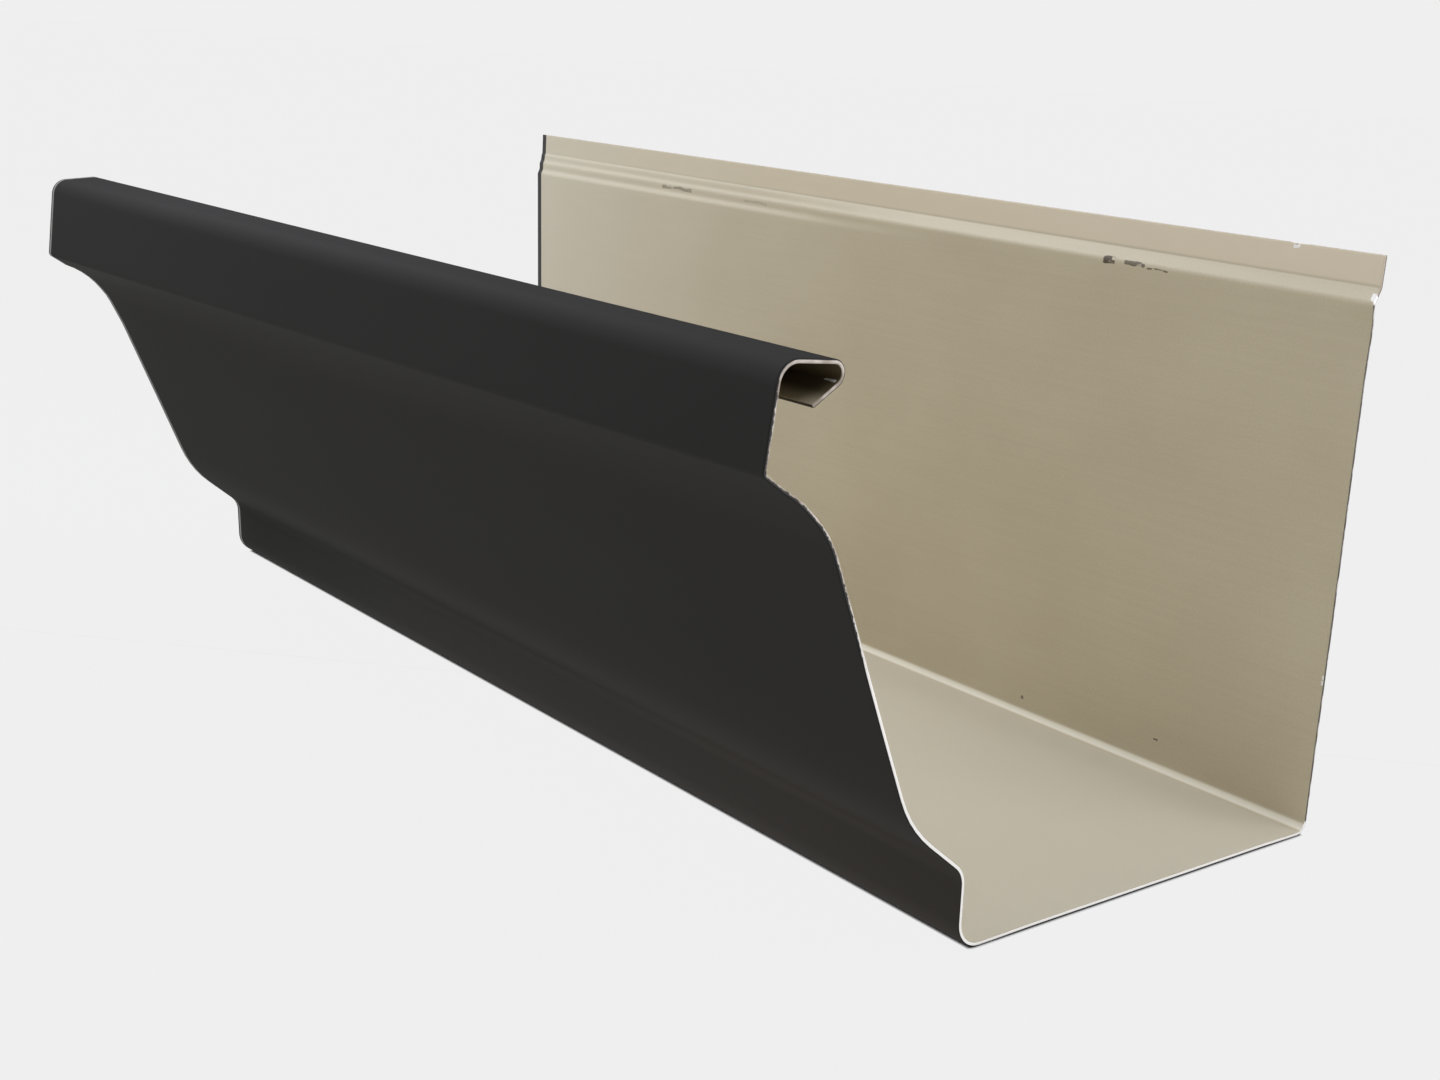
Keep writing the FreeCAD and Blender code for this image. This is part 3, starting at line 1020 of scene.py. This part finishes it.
class GUTTER_OT_stage(bpy.types.Operator):
    """Set the strip on a glowing floor under soft light, and place the camera."""

    bl_idname = "gutter.stage"
    bl_label = "Stage"

    def execute(self, context):
        """Build the floor, the light and the camera."""
        context.scene.view_settings.view_transform = "Standard"
        set_floor(context.scene)
        set_light(context.scene)
        set_camera(context.scene)
        return {"FINISHED"}


def set_floor(scene):
    """Lay a matt acrylic floor that is lit from below, so it glows like the backdrop.

    No lamp throws a shadow on it; its glow is dimmed right under the object, as a painted contact
    shadow.
    """
    half_side = 40
    mesh = bmesh.new()
    bmesh.ops.create_grid(mesh, x_segments=1, y_segments=1, size=half_side)
    bmesh.ops.translate(mesh, verts=mesh.verts[:], vec=(0, 0, node_low[2]))
    data = bpy.data.meshes.new("stage_floor")
    mesh.to_mesh(data)
    mesh.free()
    floor = bpy.data.objects.new("stage_floor", data)
    scene.collection.objects.link(floor)
    material, tree = new_material("matt_translucent_acrylic")
    # Painted contact shadow: the glow fades within 0.7 mm of where the object closes over the
    # floor.
    contact_shade = add(tree, "ShaderNodeAmbientOcclusion", {"Distance": 0.7 * MM}, out="AO", samples=8)
    glow = add(
        tree, "ShaderNodeMapRange", {"Value": contact_shade, "From Min": 0.35, "To Max": 0.99}
    )
    surface = add(
        tree,
        "ShaderNodeBsdfPrincipled",
        {
            "Base Color": opaque([0.01, 0.01, 0.01]),
            "Roughness": 1.0,
            "Specular IOR Level": 0.0,
            "Emission Color": opaque(scene.gutter_colours.backdrop),
            "Emission Strength": glow,
        },
    )
    add(tree, "ShaderNodeOutputMaterial", {"Surface": surface})
    data.materials.append(material)


def set_light(scene):
    """Light the stage with a dome that is brightest overhead, and with broad round lamps."""
    neutral = (1.0, 1.0, 1.0)
    cool = (0.975, 1.0, 1.07)
    overhead = 0.55
    world = bpy.data.worlds.new("soft_studio")
    scene.world = world
    world.use_nodes = True
    tree = world.node_tree
    tree.nodes.clear()
    outward = add(tree, "ShaderNodeTexCoord", out="Generated")
    height = add(tree, "ShaderNodeSeparateXYZ", {"Vector": outward}, out="Z")
    height = add(tree, "ShaderNodeMath", {0: height, 1: 0.0}, operation="MAXIMUM")
    height = add(tree, "ShaderNodeMath", {0: height, 1: height}, operation="MULTIPLY")
    glow = add(tree, "ShaderNodeMath", {0: height, 1: overhead}, operation="MULTIPLY")
    dome = add(tree, "ShaderNodeBackground", {"Color": opaque(cool), "Strength": glow})
    # The camera sees the plain backdrop in place of the dome.
    seen = add(tree, "ShaderNodeBackground", {"Color": opaque(scene.gutter_colours.backdrop)})
    camera_ray = add(tree, "ShaderNodeLightPath", out="Is Camera Ray")
    both = add(tree, "ShaderNodeMixShader", {0: camera_ray, 1: dome, 2: seen})
    add(tree, "ShaderNodeOutputWorld", {"Surface": both})
    aimed_at = Vector((-0.05, 0.05, 0.06))
    for name, watts, across, stand, tint in (
        ("softbox_front_left", 1.4, 0.4, (-0.45, -0.35, 0.45), cool),
        ("softbox_left", 1.6, 0.4, (-0.35, -0.05, 0.5), cool),
        ("softbox_right", 1.3, 0.4, (0.3, 0.1, 0.6), cool),
        ("softbox_front", 0.6, 0.4, (-0.1, -0.6, 0.3), neutral),
        ("softbox_back", 0.6, 0.5, (0.0, 0.5, 0.7), neutral),
        ("softbox_end", 0.7, 0.3, (0.6, 0.45, 0.08), neutral),
    ):
        data = bpy.data.lights.new(name, "AREA")
        data.energy = watts
        data.color = tint
        data.shape = "DISK"
        data.size = across
        lamp = bpy.data.objects.new(name, data)
        aim = aimed_at - Vector(stand)
        lamp.matrix_world = (
            Matrix.Translation(stand) @ aim.to_track_quat("-Z", "Y").to_matrix().to_4x4()
        )
        scene.collection.objects.link(lamp)


def set_camera(scene):
    """Look down into the near end of the trough from the front right."""
    view = scene.gutter_view
    data = bpy.data.cameras.new("camera")
    data.sensor_width = 36
    data.lens = view.lens
    data.shift_x = view.shift_across
    data.shift_y = view.shift_up
    data.clip_start = 0.01
    camera = bpy.data.objects.new("camera", data)
    camera.matrix_world = (
        Matrix.Translation((view.across, -view.front, view.height))
        @ Matrix.Rotation(view.bearing, 4, "Z")
        @ Matrix.Rotation(math.radians(90) - view.dip, 4, "X")
        @ Matrix.Rotation(view.roll, 4, "Z")
    )
    scene.collection.objects.link(camera)
    scene.camera = camera


class GUTTER_PT_panel(bpy.types.Panel):
    """List the steps that make the gutter section, and its sizes and colours."""

    bl_idname = "GUTTER_PT_panel"
    bl_label = "Gutter Section"
    bl_space_type = "VIEW_3D"
    bl_region_type = "UI"
    bl_category = "Gutter"

    def draw(self, context):
        """Draw the buttons and the properties."""
        for step in STEPS:
            self.layout.operator(step.bl_idname)
        for group in (
            context.scene.gutter_profile,
            context.scene.gutter_wear,
            context.scene.gutter_colours,
            context.scene.gutter_view,
        ):
            box = self.layout.box()
            for name in group.bl_rna.properties.keys():
                if name not in ("rna_type", "name"):
                    box.prop(group, name)


GROUPS = (GutterProfile, GutterWear, GutterColours, GutterView)
STEPS = (GUTTER_OT_strip, GUTTER_OT_finishes, GUTTER_OT_stage)


def register():
    """Register the classes and hang the property groups on the scene."""
    for item in (*GROUPS, *STEPS, GUTTER_PT_panel):
        bpy.utils.register_class(item)
    bpy.types.Scene.gutter_profile = PointerProperty(type=GutterProfile)
    bpy.types.Scene.gutter_wear = PointerProperty(type=GutterWear)
    bpy.types.Scene.gutter_colours = PointerProperty(type=GutterColours)
    bpy.types.Scene.gutter_view = PointerProperty(type=GutterView)


def unregister():
    """Take the property groups off the scene and unregister the classes."""
    del bpy.types.Scene.gutter_view
    del bpy.types.Scene.gutter_colours
    del bpy.types.Scene.gutter_wear
    del bpy.types.Scene.gutter_profile
    for item in reversed((*GROUPS, *STEPS, GUTTER_PT_panel)):
        bpy.utils.unregister_class(item)


def main():
    """Make the whole scene."""
    register()
    bpy.ops.gutter.strip()
    bpy.ops.gutter.finishes()
    bpy.ops.gutter.stage()


if __name__ == "__main__":
    main()
